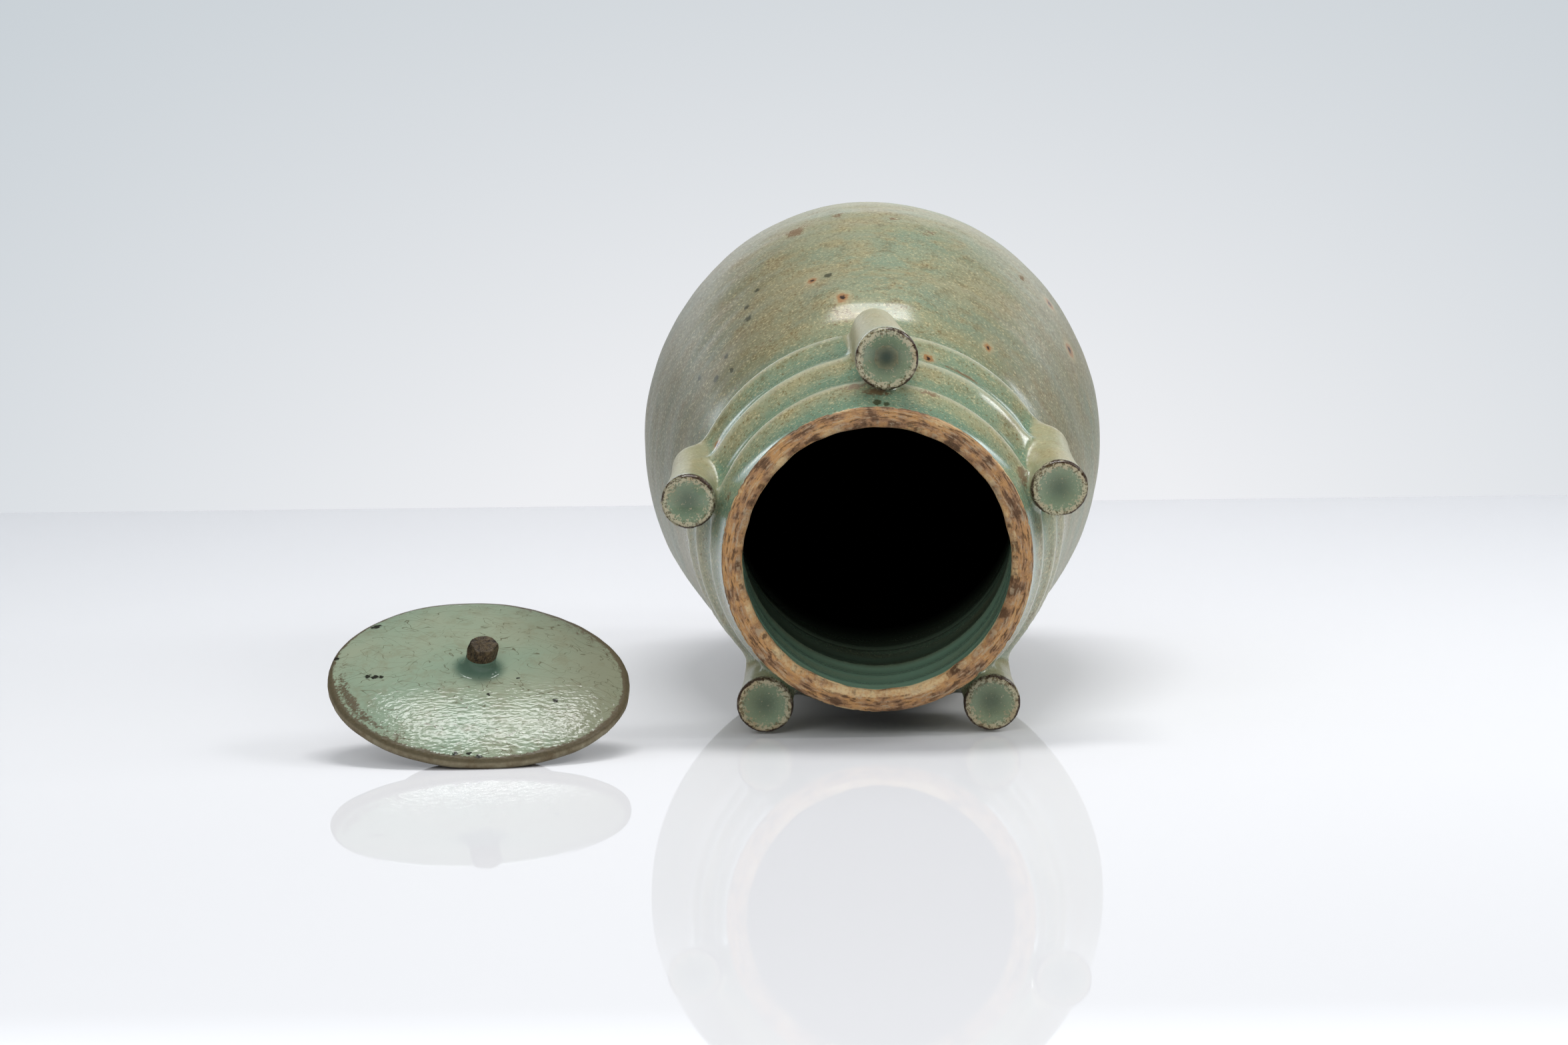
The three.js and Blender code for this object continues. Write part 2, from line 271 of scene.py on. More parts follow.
def jar_glaze():
    """Olive-grey celadon, pooled jade green behind each ridge, buff and speckled brown where it is thin, with
    painted highlights on the crests and painted shade under the neck and deep inside.
    """
    made, add = new_material("olive_celadon_glaze")
    place = add("ShaderNodeAttribute", attribute_name="place").outputs["Vector"]
    marks = {
        mark: add("ShaderNodeAttribute", attribute_name=mark).outputs["Fac"]
        for mark in ("pool", "ridge", "stain", "thin", "tube", "edge", "dish", "mouth", "inside")
    }
    # Soft clouds about 40 mm across, and streaks 9 mm wide drawn out along the turning.
    cloud = add(NOISE, {"Vector": place, "Scale": 1 / 40, "Detail": 3.0})
    drawn = add(VECTOR, {0: place, 1: (0.22, 0.22, 1)}, operation="MULTIPLY")
    streak = add(NOISE, {"Vector": drawn, "Scale": 1 / 9, "Detail": 4.0, "Roughness": 0.62})
    patch = add(NOISE, {"Vector": place, "Scale": 1 / 11, "Detail": 5.0, "Roughness": 0.7})
    grain = add(NOISE, {"Vector": place, "Scale": 1 / 0.9, "Detail": 3.0, "Roughness": 0.7})
    clouded = add(RANGE, {0: cloud, 1: 0.38, 2: 0.62})
    thin = add(RANGE, {0: streak, 1: 0.46, 2: 0.7, 4: 0.7})
    pooled = add(TIMES, {0: marks["pool"], 1: 0.95})
    bare = add(MINUS, {0: 1.0, 1: marks["pool"]})
    patchy = add(RANGE, {0: patch, 1: 0.47, 2: 0.68, 4: 0.8})
    buff = add(TIMES, {0: patchy, 1: bare})
    # Painted shade under the neck between the lower spouts, and darker olive-brown on the shoulder's upper
    # left and right.
    dark_sides_and_painted_shade = add(TIMES, {0: marks["thin"], 1: 0.66})
    # Dark olive clots a few millimetres across where the glaze crawled.
    mottle = add(NOISE, {"Vector": place, "Scale": 1 / 7, "Detail": 6.0, "Roughness": 0.75})
    clotted = add(RANGE, {0: mottle, 1: 0.53, 2: 0.64, 4: 0.5})
    clotted = add(TIMES, {0: clotted, 1: bare})
    # Brown specks about half a millimetre across, closest together in the buff patches.
    limit = add(RANGE, {0: buff, 3: 0.6, 4: 0.52})
    over = add(MINUS, {0: grain, 1: limit})
    speck = add(RANGE, {0: over, 1: 0.0, 2: 0.05, 4: 0.8})
    pale = add(RANGE, {0: grain, 1: 0.44, 2: 0.36, 4: 0.6})
    # Pale crest lines: glaze thinning on the sharp crests, and a painted highlight along them.
    off_crest = add(UNSIGNED, {0: marks["ridge"]})
    pale_crest_and_highlight = add(RANGE, {0: off_crest, 1: 2.2, 2: 0.1, 4: 0.55})
    tube = add(TIMES, {0: marks["tube"], 1: 0.4})
    # Stains break up into flecks towards their edges.
    ragged = add(PLUS, {0: grain, 1: patch})
    shy = add(TIMES_PLUS, {0: marks["stain"], 1: 0.62, 2: ragged})
    stained = add(RANGE, {0: shy, 1: 1.42, 2: 1.56, 4: 0.85})
    # Pits and spots are placed on the glaze as if unrolled, with ragged edges.
    flat = add(VECTOR, {0: place, 1: (1, 1, 0)}, operation="MULTIPLY")
    across = add(VECTOR, {0: flat}, operation="LENGTH").outputs["Value"]
    unit = add(OVER, {0: MARK_CIRCLE, 1: across})
    flat = add(VECTOR, {0: flat, "Scale": unit}, operation="SCALE")
    unrolled = add(VECTOR, {0: place, 1: (0, 0, MARK_SQUEEZE), 2: flat}, operation="MULTIPLY_ADD")
    jag = add(NOISE, {"Vector": place, "Scale": 1 / 1.5, "Detail": 2.0}).outputs["Color"]
    unrolled = add(VECTOR, {0: jag, 1: (1.8, 1.8, 1.8), 2: unrolled}, operation="MULTIPLY_ADD")
    unrolled = add(VECTOR, {0: unrolled, 1: (0.9, 0.9, 0.9)}, operation="SUBTRACT")
    spot = nearest_mark(add, unrolled, round_table(SPOTS))
    dark = add(RANGE, {0: spot, 1: 1.1, 2: 0.7, 4: 0.85})
    pit = nearest_mark(add, unrolled, round_table(PITS))
    halo = add(RANGE, {0: pit, 1: 2.4, 2: 1.2, 4: 0.5})
    rusty = add(RANGE, {0: pit, 1: 1.35, 2: 0.9, 4: 0.85})
    hole = add(RANGE, {0: pit, 1: 0.65, 2: 0.4})
    # Spout ends: a jade dish, dark in its middle, a crust of pale and tan specks, and a broken brown edge.
    edge_noise = add(NOISE, {"Vector": place, "Scale": 1 / 1.7, "Detail": 5.0, "Roughness": 0.7})
    edge = add(TIMES_PLUS, {0: edge_noise, 1: 1.7, 2: marks["edge"]})
    in_dish = add(RANGE, {0: edge, 1: -0.4, 2: -1.4, 4: 0.7})
    near_edge = add(RANGE, {0: edge, 1: -3.2, 2: -0.8})
    on_end = add(RANGE, {0: marks["edge"], 1: 0.3, 2: -0.3})
    crust = add(TIMES, {0: near_edge, 1: on_end})
    flecks = add(TIMES_PLUS, {0: crust, 1: 0.17, 2: grain})
    frosted = add(RANGE, {0: flecks, 1: 0.62, 2: 0.68, 4: 0.8})
    frosted = add(TIMES, {0: frosted, 1: on_end})
    tan = add(MIX, {0: patchy, 6: colour("#aba187"), 7: colour("#8f6f49")})
    gaps = add(TIMES_PLUS, {0: crust, 1: -0.14, 2: grain})
    gaps = add(RANGE, {0: gaps, 1: 0.34, 2: 0.28, 4: 0.8})
    gaps = add(TIMES, {0: gaps, 1: crust})
    from_line = add(MINUS, {0: edge, 1: 0.35})
    from_line = add(UNSIGNED, {0: from_line})
    line = add(RANGE, {0: from_line, 1: 0.5, 2: 0.3})
    bitten = add(RANGE, {0: patch, 1: 0.4, 2: 0.5, 4: 0.95})
    line = add(TIMES, {0: line, 1: on_end})
    burnt = add(TIMES, {0: line, 1: bitten})
    base = colour("#8c8c6f")
    for share, tone in (
        (clouded, "#77866f"),
        (thin, "#918c69"),
        (pooled, "#66806a"),
        (buff, "#948862"),
        (dark_sides_and_painted_shade, "#524a31"),
        (clotted, "#5e573a"),
        (speck, "#64502f"),
        (pale, "#bbb08a"),
        (pale_crest_and_highlight, "#b9b9a4"),
        (tube, "#a09672"),
        (stained, "#6b5236"),
        (dark, "#34351f"),
        (halo, "#a89a78"),
        (rusty, "#8d6238"),
        (hole, "#2b170d"),
        (in_dish, "#697e67"),
        (marks["dish"], "#2c3a30"),
        (frosted, tan),
        (gaps, "#523c22"),
        (burnt, "#2f1d12"),
        (marks["mouth"], "#76957f"),
        # painted shade: the inside turns black with depth
        (marks["inside"], "#050505"),
    ):
        tone = colour(tone) if isinstance(tone, str) else tone
        base = add(MIX, {0: share, 6: base, 7: tone})
    gloss = add(RANGE, {0: grain, 1: 0.3, 2: 0.7, 3: 0.1, 4: 0.18})
    # The body's glaze is satin past the shoulder, and the neck's is glossy.
    down = add("ShaderNodeSeparateXYZ", {0: place}).outputs["Z"]
    satin = add(RANGE, {0: down, 1: -66.0, 2: -92.0, 4: 0.24})
    gloss = add(PLUS, {0: gloss, 1: satin})
    worn_gloss = add(TIMES_PLUS, {0: frosted, 1: 0.35, 2: gloss})
    rough = add(TIMES_PLUS, {0: stained, 1: 0.3, 2: worn_gloss})
    rough = add(TIMES_PLUS, {0: marks["tube"], 1: 0.2, 2: rough})
    # Painted shade: deep inside, the glaze also loses its shine.
    shine = add(RANGE, {0: marks["inside"], 1: 0.2, 2: 1.0, 3: 0.5, 4: 0.0})
    shine = add(TIMES_PLUS, {0: marks["tube"], 1: -0.3, 2: shine})
    relief = add(NOISE, {"Vector": drawn, "Scale": 1 / 1.6, "Detail": 2.0})
    relief_sum = add(TIMES_PLUS, {0: grain, 1: 0.35, 2: relief})
    bump = add("ShaderNodeBump", {"Height": relief_sum, "Strength": 0.05, "Distance": 0.4 * MM})
    look = {"Base Color": base, "Roughness": rough, "Specular IOR Level": shine, "Normal": bump}
    add("ShaderNodeOutputMaterial", {"Surface": add("ShaderNodeBsdfPrincipled", look)})
    return made


def cover_celadon():
    """Pale jade glaze, scratched all over, worn to brown along the edge, with the skin of an orange."""
    made, add = new_material("worn_jade_celadon_glaze")
    place = add("ShaderNodeAttribute", attribute_name="place").outputs["Vector"]
    marks = {
        mark: add("ShaderNodeAttribute", attribute_name=mark).outputs["Fac"]
        for mark in ("wear", "pool", "bare", "stain")
    }
    cloud = add(NOISE, {"Vector": place, "Scale": 1 / 22, "Detail": 3.0})
    patch = add(NOISE, {"Vector": place, "Scale": 1 / 7, "Detail": 6.0, "Roughness": 0.72})
    grain = add(NOISE, {"Vector": place, "Scale": 1 / 0.8, "Detail": 3.0, "Roughness": 0.7})
    clouded = add(RANGE, {0: cloud, 1: 0.35, 2: 0.65})
    # Hair-thin scratches: short lengths of the level lines of fields of noise drawn out four ways.
    scratches = []
    for turn, mask_size, seed in ((0.1, 5, 3.0), (-0.5, 7, 11.0), (0.9, 4, 23.0), (2.3, 6, 37.0)):
        lined = add(
            "ShaderNodeMapping",
            {"Vector": place, "Location": (seed, seed, 0), "Rotation": (0, 0, turn), "Scale": (3, 1, 1)},
            vector_type="TEXTURE",
        )
        field = add(NOISE, {"Vector": lined, "Scale": 1 / 4, "Detail": 1.0})
        level = add(MINUS, {0: field, 1: 0.5})
        level = add(UNSIGNED, {0: level})
        line = add(RANGE, {0: level, 1: 0.007, 2: 0.002})
        short = add(NOISE, {"Vector": lined, "Scale": 1 / mask_size, "Detail": 3.0})
        kept = add(RANGE, {0: short, 1: 0.48, 2: 0.56, 4: 0.8})
        scratches.append((add(TIMES, {0: line, 1: kept}), "#4f4a38"))
    dirt = add(RANGE, {0: patch, 1: 0.5, 2: 0.7, 4: 0.5})
    rubbed = add(PLUS, {0: patch, 1: marks["wear"]})
    rubbed = add(TIMES_PLUS, {0: grain, 1: 1.0, 2: rubbed})
    worn = add(RANGE, {0: rubbed, 1: 1.42, 2: 1.56, 4: 0.92})
    brown = add(MIX, {0: grain, 6: colour("#2f2517"), 7: colour("#5d5039")})
    edge_tone = add(RANGE, {0: patch, 1: 0.35, 2: 0.65})
    edge = add(MIX, {0: edge_tone, 6: colour("#827b66"), 7: colour("#5b4f3b")})
    jag = add(NOISE, {"Vector": place, "Scale": 1 / 1.2, "Detail": 2.0}).outputs["Color"]
    plan = add(VECTOR, {0: place, 1: (1, 1, 0)}, operation="MULTIPLY")
    plan = add(VECTOR, {0: jag, 1: (2.2, 2.2, 0), 2: plan}, operation="MULTIPLY_ADD")
    plan = add(VECTOR, {0: plan, 1: (1.1, 1.1, 0)}, operation="SUBTRACT")
    spot = nearest_mark(add, plan, [((x, y, 0), radius) for x, y, radius in COVER_SPOTS])
    black = add(RANGE, {0: spot, 1: 1.1, 2: 0.75, 4: 0.95})
    base = colour("#7b8b77")
    for share, tone in (
        (clouded, "#848c77"),
        (marks["stain"], "#70705c"),
        *scratches,
        (dirt, "#6f6a54"),
        (worn, brown),
        (marks["pool"], "#40574a"),
        (marks["bare"], edge),
        (black, "#15130d"),
    ):
        tone = colour(tone) if isinstance(tone, str) else tone
        base = add(MIX, {0: share, 6: base, 7: tone})
    rough = add(TIMES_PLUS, {0: marks["bare"], 1: 0.35, 2: 0.14})
    rough = add(TIMES_PLUS, {0: worn, 1: 0.3, 2: rough})
    rough = add(TIMES_PLUS, {0: marks["pool"], 1: -0.08, 2: rough})
    # Orange peel: wrinkles about 1 mm across and longer from left to right, deepest towards the front edge.
    peel_place = add(VECTOR, {0: place, 1: (0.5, 1, 1)}, operation="MULTIPLY")
    peel = add(NOISE, {"Vector": peel_place, "Scale": 1 / 1.1, "Detail": 1.5})
    forward = add("ShaderNodeSeparateXYZ", {0: place}).outputs["Y"]
    depth = add(RANGE, {0: forward, 1: -4.0, 2: -18.0, 3: 0.12, 4: 0.45})
    bump = add("ShaderNodeBump", {"Height": peel, "Strength": depth, "Distance": 0.5 * MM})
    look = {"Base Color": base, "Roughness": rough, "Specular IOR Level": 0.2, "Normal": bump}
    add("ShaderNodeOutputMaterial", {"Surface": add("ShaderNodeBsdfPrincipled", look)})
    return made


def stoneware(name, light, middle, dark, pale, ash):
    """Bare fired clay: pitted and rough, with brown, tan and pale streaks drawn along its turning."""
    made, add = new_material(name)
    place = add("ShaderNodeAttribute", attribute_name="place").outputs["Vector"]
    cream = add("ShaderNodeAttribute", attribute_name="cream").outputs["Fac"]
    # On the rim everything is drawn out seven times as far along the turn as across it.
    flat = add(VECTOR, {0: place, 1: (1, 1, 0)}, operation="MULTIPLY")
    across = add(VECTOR, {0: flat}, operation="LENGTH").outputs["Value"]
    unit = add(OVER, {0: 6.0, 1: across})
    around = add(VECTOR, {0: flat, "Scale": unit}, operation="SCALE")
    down = add("ShaderNodeSeparateXYZ", {0: place}).outputs["Z"]
    level = add(MINUS, {0: across, 1: down})
    upright = add("ShaderNodeCombineXYZ", {2: level})
    drawn = add(VECTOR, {0: around, 1: upright}, operation="ADD")
    streak = add(NOISE, {"Vector": drawn, "Scale": 1 / 1.7, "Detail": 5.0, "Roughness": 0.62})
    fine = add(NOISE, {"Vector": drawn, "Scale": 1 / 0.6, "Detail": 3.0, "Roughness": 0.6})
    patch = add(NOISE, {"Vector": place, "Scale": 1 / 5.0, "Detail": 5.0, "Roughness": 0.65})
    grain = add(NOISE, {"Vector": place, "Scale": 1 / 0.8, "Detail": 4.0, "Roughness": 0.7})
    mixed = add(PLUS, {0: streak, 1: patch})
    toned = add(RANGE, {0: mixed, 1: 0.92, 2: 1.1})
    smoky = add(RANGE, {0: mixed, 1: 0.92, 2: 0.84, 4: 0.75})
    scored = add(RANGE, {0: fine, 1: 0.46, 2: 0.38, 4: 0.8})
    ashy = add(RANGE, {0: fine, 1: 0.55, 2: 0.62, 4: 0.6})
    speck = add(RANGE, {0: grain, 1: 0.6, 2: 0.66, 4: 0.7})
    creamy = add(TIMES_PLUS, {0: cream, 1: 0.14, 2: streak})
    creamy = add(TIMES_PLUS, {0: grain, 1: 0.4, 2: creamy})
    lit = add(RANGE, {0: creamy, 1: 0.82, 2: 0.98, 4: 0.75})
    base = colour(middle)
    coats = (toned, light), (smoky, dark), (scored, dark), (ashy, ash), (speck, dark), (lit, pale)
    for share, tone in coats:
        base = add(MIX, {0: share, 6: base, 7: colour(tone)})
    rough = add(RANGE, {0: grain, 1: 0.35, 2: 0.65, 3: 0.4, 4: 0.75})
    relief = add(TIMES_PLUS, {0: streak, 1: 1.5, 2: grain})
    bump = add("ShaderNodeBump", {"Height": relief, "Strength": 0.6, "Distance": 0.6 * MM})
    look = {"Base Color": base, "Roughness": rough, "Specular IOR Level": 0.3, "Normal": bump}
    add("ShaderNodeOutputMaterial", {"Surface": add("ShaderNodeBsdfPrincipled", look)})
    return made


def smooth_through(knots, per_span):
    """Points of a smooth curve through the knots."""
    knots = np.array(knots, dtype=float)
    share = np.arange(per_span)[:, None] / per_span
    spans = []
    for i in range(len(knots) - 1):
        before, start, end, after = (knots[min(max(i + k, 0), len(knots) - 1)] for k in (-1, 0, 1, 2))
        spans.append(
            0.5
            * (
                2 * start
                + (end - before) * share
                + (2 * before - 5 * start + 4 * end - after) * share**2
                + (3 * start - before - 3 * end + after) * share**3
            )
        )
    return np.vstack([*spans, knots[-1:]])


def spaced(profile, step):
    """The same outline with points no further apart than a step."""
    rows = []
    for start, end in zip(profile[:-1], profile[1:]):
        count = max(1, math.ceil(np.linalg.norm(end - start) / step))
        rows.append(start + (end - start) * np.arange(count)[:, None] / count)
    return np.vstack([*rows, profile[-1:]])


def turned(profile, around):
    """Points and faces of a turned shell. Its profile of radius and height ends on the axis or closes."""
    closed = profile[0][0] > 0
    angle = np.arange(around) * 2 * np.pi / around
    points, rings, start = [], [], 0
    for radius, height in profile:
        if radius == 0:
            points.append([[0, 0, height]])
            rings.append(np.full(around, start))
            start += 1
        else:
            points.append(np.c_[radius * np.cos(angle), radius * np.sin(angle), np.full(around, height)])
            rings.append(np.arange(start, start + around))
            start += around
    faces = []
    pairs = list(zip(rings, rings[1:] + rings[:1]))
    for lower, upper in pairs if closed else pairs[:-1]:
        quads = np.c_[lower, np.roll(lower, -1), np.roll(upper, -1), upper]
        if lower[0] == lower[1]:
            quads = quads[:, [0, 2, 3]]
        elif upper[0] == upper[1]:
            quads = quads[:, [0, 1, 2]]
        faces += quads.tolist()
    return np.vstack(points), faces


def finished(name, points, faces, place, material, body, nodes=(), marks=None):
    """A smooth piece on its body. Points are millimetres in the frame of its axis."""
    mesh = bpy.data.meshes.new(name)
    rotation = np.array(place.to_3x3())
    world = (np.asarray(points) * MM) @ rotation.T + np.array(place.translation)
    mesh.from_pydata(world.tolist(), [], faces)
    shape = bmesh.new()
    shape.from_mesh(mesh)
    bmesh.ops.recalc_face_normals(shape, faces=shape.faces)
    shape.to_mesh(mesh)
    shape.free()
    mesh.polygons.foreach_set("use_smooth", np.ones(len(mesh.polygons), dtype=bool))
    mesh.attributes.new("place", "FLOAT_VECTOR", "POINT").data.foreach_set("vector", np.ravel(points))
    for mark, values in (marks or {}).items():
        mesh.attributes.new(mark, "FLOAT", "POINT").data.foreach_set("value", np.ravel(values))
    mesh.materials.append(material)
    piece = bpy.data.objects.new(name, mesh)
    bpy.context.scene.collection.objects.link(piece)
    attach(piece, body)
    if nodes:
        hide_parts(*nodes)
    return piece


def wander(points, size, seed=0.0):
    """Smooth noise between about -1 and 1 at each point, with features of the given size in millimetres."""
    return np.array([noise.noise(Vector(p) / size + Vector((seed, 0, 0))) for p in points])


def eased(values, start, end):
    """0 up to the start, 1 from the end on, and smooth between."""
    share = np.clip((values - start) / (end - start), 0, 1)
    return share * share * (3 - 2 * share)


def lobe(angle, middle, spread):
    """1 at the middle direction and fading to both sides of it, in degrees."""
    return np.exp(-((((angle - middle + 180) % 360 - 180) / spread) ** 2))


def round_jar(points):
    """Angle in degrees, depth and distance from the axis of points in the jar's frame."""
    x, y, z = np.asarray(points).T
    return np.degrees(np.arctan2(y, x)), -z, np.hypot(x, y)


def blots(points, table):
    """How strongly each point is marked by a table of angle, depth, length along the turn and width."""
    angle, depth, radius = round_jar(points)
    mark = np.zeros(len(depth))
    for at, down, length, width in table:
        along = np.radians((angle - at + 180) % 360 - 180) * radius
        mark = np.maximum(mark, np.exp(-((along / length) ** 2 + ((depth - down) / width) ** 2)))
    return mark


def jar_marks(points):
    """Marks that the whole jar's glaze shares, each off until its own piece sets it."""
    angle, depth, _ = round_jar(points)
    off = np.full(len(points), 99.0)
    return {
        "ridge": off,
        "edge": off,
        "tube": np.zeros(len(points)),
        # Darker olive-brown towards the upper left and right of the shoulder, and painted shade under the
        # neck between the lower spouts.
        "thin": np.maximum(
            eased(depth, 40, 90) * np.maximum(lobe(angle, 152, 42), 0.75 * lobe(angle, 28, 36)),
            1.2 * eased(depth, 10, 40) * lobe(angle, 270, 35),
        ),
        "stain": blots(points, STAINS),
    }


def body_outline():
    """Outside of the body from the seam down to the foot: radius and depth."""
    above, below = (
        [
            (BELLY_RADIUS + (radius - BELLY_RADIUS) * done, BELLY_DEPTH + (depth - BELLY_DEPTH) * share)
            for done, share in zip((*curve, 1), (0.25, 0.5, 0.75, 1))
        ]
        for radius, depth, curve in (
            (SHOULDER_RADIUS, SHOULDER_DEPTH, UPPER_CURVE),
            (FOOT_RADIUS, JAR_HEIGHT - FOOT_HEIGHT, LOWER_CURVE),
        )
    )
    return smooth_through([*above[::-1], (BELLY_RADIUS, BELLY_DEPTH), *below], 24)


def make_body(material):
    outer = body_outline()
    foot = JAR_HEIGHT - FOOT_HEIGHT
    # The inside widens slowly below the neck, and joins the even wall only past the shoulder.
    inner = outer[:-12:3] - [WALL, 0]
    inner = np.vstack([smooth_through(THROAT, 6), inner[inner[:, 1] > THROAT_END]])
    floor = foot - FLOOR_THICKNESS
    outside = spaced(outer[::-1], 1.5)
    profile = np.vstack([
        [(0, foot + 0.5), (FOOT_RADIUS - 3, foot + 0.5)],
        outside,
        [(SHOULDER_RADIUS - 0.5, SHOULDER_DEPTH - 0.2), (SHOULDER_RADIUS - 0.5, SHOULDER_DEPTH - 1.5)],
        [(41.2, SHOULDER_DEPTH - 1.5)],
        spaced(inner[inner[:, 1] < floor - 1], 4),
        [(34, floor), (0, floor)],
    ])
    profile[:, 1] *= -1
    points, faces = turned(profile, AROUND["body"])
    angle, depth, radius = round_jar(points)
    # The skin's rings come after the point and the ring of the floor under the foot.
    first = 1 + AROUND["body"]
    skin = slice(first, first + AROUND["body"] * len(outside))
    # Throwing rings about 11 mm apart, fingers' dents, and the swelling pressed up behind the top spout.
    skin_depth, skin_points = depth[skin], points[skin]
    drift = wander(skin_points, 45.0)
    rings = 0.035 * np.sin(skin_depth * 2 * np.pi / 11 + 5 * drift) * (0.4 + np.abs(drift))
    dents = 0.45 * drift + 0.26 * wander(skin_points * [0.6, 0.6, 1], 14.0, 9.0)
    dents = dents + 0.07 * wander(skin_points, 6.5, 5.0)
    around_top = np.radians(angle[skin] - 90) * radius[skin]
    risen = np.interp(skin_depth, (74, 77, 85.5, 88), (0, 0.06, 0.95, 1))
    pad = (2.5 + 0.9 * (around_top / 14) ** 2) * np.exp(-((around_top / 18) ** 4))
    swelling = pad * risen * (1 - eased(skin_depth, 89, 130))
    fade = eased(skin_depth, SHOULDER_DEPTH, SHOULDER_DEPTH + 8)
    fade *= 1 - eased(skin_depth, foot - 14, foot - 4)
    grow = 1 + ((rings + dents) * fade + swelling) / radius[skin]
    points[skin, :2] *= grow[:, None]
    marks = jar_marks(points)
    marks["pool"] = 0.45 * (1 - eased(depth, 67, 82))
    outside_skin = np.arange(len(points)) < skin.stop
    marks["mouth"] = np.where(outside_skin, 0, 0.6)
    # Painted shade on the inner wall, black with depth.
    marks["inside"] = np.where(outside_skin, 0, np.interp(depth, *zip(*PAINTED_INTERIOR_SHADE)))
    nodes = ("upper_body", "lower_body")
    finished("body_skin", points, faces, JAR, material, "jar", nodes, marks)


def spout_places():
    """End and root of each spout's middle line in the jar's frame, then its radius, dish, taper and waist."""
    for end_angle, root_angle, end_circle, root_circle, depth, *sizes in SPOUTS:
        end, root = math.radians(end_angle), math.radians(root_angle)
        yield (
            Vector((end_circle * math.cos(end), end_circle * math.sin(end), -depth)),
            Vector((root_circle * math.cos(root), root_circle * math.sin(root), -SPOUT_ROOT_DEPTH)),
            *sizes,
        )


def neck_tree():
    """The neck with its spouts as one distance rule, in millimetres: below zero is clay."""
    tree = bpy.data.node_groups.new("luted_neck", "GeometryNodeTree")
    for name, value in NECK_RULE.items():
        tree.interface.new_socket(name, in_out="INPUT", socket_type="NodeSocketFloat").default_value = value
    tree.interface.new_socket("Material", in_out="INPUT", socket_type="NodeSocketMaterial")
    tree.interface.new_socket("Geometry", in_out="OUTPUT", socket_type="NodeSocketGeometry")
    add = partial(add_node, tree)
    given = add("NodeGroupInput").outputs
    place = add("GeometryNodeInputPosition")
    flat = add(VECTOR, {0: place, 1: (1, 1, 0)}, operation="MULTIPLY")
    across = add(VECTOR, {0: flat}, operation="LENGTH")
    height = add("ShaderNodeSeparateXYZ", {0: place}).outputs["Z"]
    cloud = add(NOISE, {"Vector": place, "Scale": 1 / 30, "Detail": 1.0})
    sway = add(MINUS, {0: cloud, 1: 0.5})
    wobble = add(TIMES, {0: sway, 1: given["Wobble"]})
    depth = add(TIMES_PLUS, {0: height, 1: -1.0, 2: wobble})

    def turned_wall(first, radius_before, stops, pressed=1.0):
        """Radius at a depth: straight from stop to stop, with a round hollow or swelling between."""
        wall, depth_before = first, 0.0
        for radius, end_depth, sag in stops:
            share = add(RANGE, {0: depth, 1: depth_before, 2: end_depth})
            wall = add(TIMES_PLUS, {0: share, 1: radius - radius_before, 2: wall})
            left = add(MINUS, {0: 1.0, 1: share})
            hump = add(TIMES, {0: share, 1: left})
            hump = add(TIMES, {0: hump, 1: pressed})
            wall = add(TIMES_PLUS, {0: hump, 1: -4 * sag, 2: wall})
            radius_before, depth_before = radius, end_depth
        return wall

    # Left of the top spout the hollows are half filled, where it was pressed on.
    sideways = add(OVER, {0: add("ShaderNodeSeparateXYZ", {0: place}), 1: across})
    from_press = add(PLUS, {0: sideways, 1: 0.17})
    from_press = add(UNSIGNED, {0: from_press})
    pressed = add(RANGE, {0: from_press, 1: 0.05, 2: 0.3, 3: 0.45})
    stops = (*RIDGES, (SHOULDER_RADIUS, SHOULDER_DEPTH, 0.2))
    outside = turned_wall(given["Rim Radius"], RIM_RADIUS, stops, pressed)
    clay = add(MINUS, {0: across, 1: outside})
    blend_share = add(RANGE, {0: depth, 1: 12.0, 2: 34.0, 3: 0.35})
    blend = add(TIMES, {0: blend_share, 1: given["Blend"]})
    for end, root, radius, dish, taper, waist in spout_places():
        inward = (root - end).normalized()
        length = (root - end).length
        from_end = add(VECTOR, {0: place, 1: end}, operation="SUBTRACT")
        along = add(VECTOR, {0: from_end, 1: inward}, operation="DOT_PRODUCT")
        side = add(VECTOR, {0: from_end, 1: inward}, operation="CROSS_PRODUCT")
        from_line = add(VECTOR, {0: side}, operation="LENGTH")
        share = add(RANGE, {0: along, 1: 0.0, 2: length})
        narrowed = add(TIMES, {0: share, 1: given["Spout Taper"]})
        straight = add(TIMES_PLUS, {0: narrowed, 1: -taper, 2: radius})
        left = add(MINUS, {0: 1.0, 1: share})
        middle = add(TIMES, {0: share, 1: left})
        straight = add(TIMES_PLUS, {0: middle, 1: -4 * waist, 2: straight})
        nose = add(RANGE, {0: along, 1: length, 2: length + SPOUT_NOSE})
        nose_square = add(TIMES, {0: nose, 1: nose})
        nose_left = add(MINUS, {0: 1.0, 1: nose_square})
        nose_round = add(MATH, {0: nose_left}, operation="SQRT")
        tube_radius = add(TIMES, {0: straight, 1: nose_round})
        tube = add(MINUS, {0: from_line, 1: tube_radius})
        before_end = add(TIMES, {0: along, 1: -1.0})
        capped = add(MATH, {0: tube, 1: before_end, 2: SPOUT_ROUNDING}, operation="SMOOTH_MAX")
        dish_ball = ((radius - SPOUT_LIP) ** 2 + dish**2) / (2 * dish)
        ball_middle = end - inward * (dish_ball - dish)
        from_ball = add(VECTOR, {0: place, 1: ball_middle}, operation="DISTANCE")
        in_dish = add(MINUS, {0: dish_ball, 1: from_ball})
        dished = add(MATH, {0: capped, 1: in_dish, 2: DISH_ROUNDING}, operation="SMOOTH_MAX")
        clay = add(MATH, {0: clay, 1: dished, 2: blend}, operation="SMOOTH_MIN")

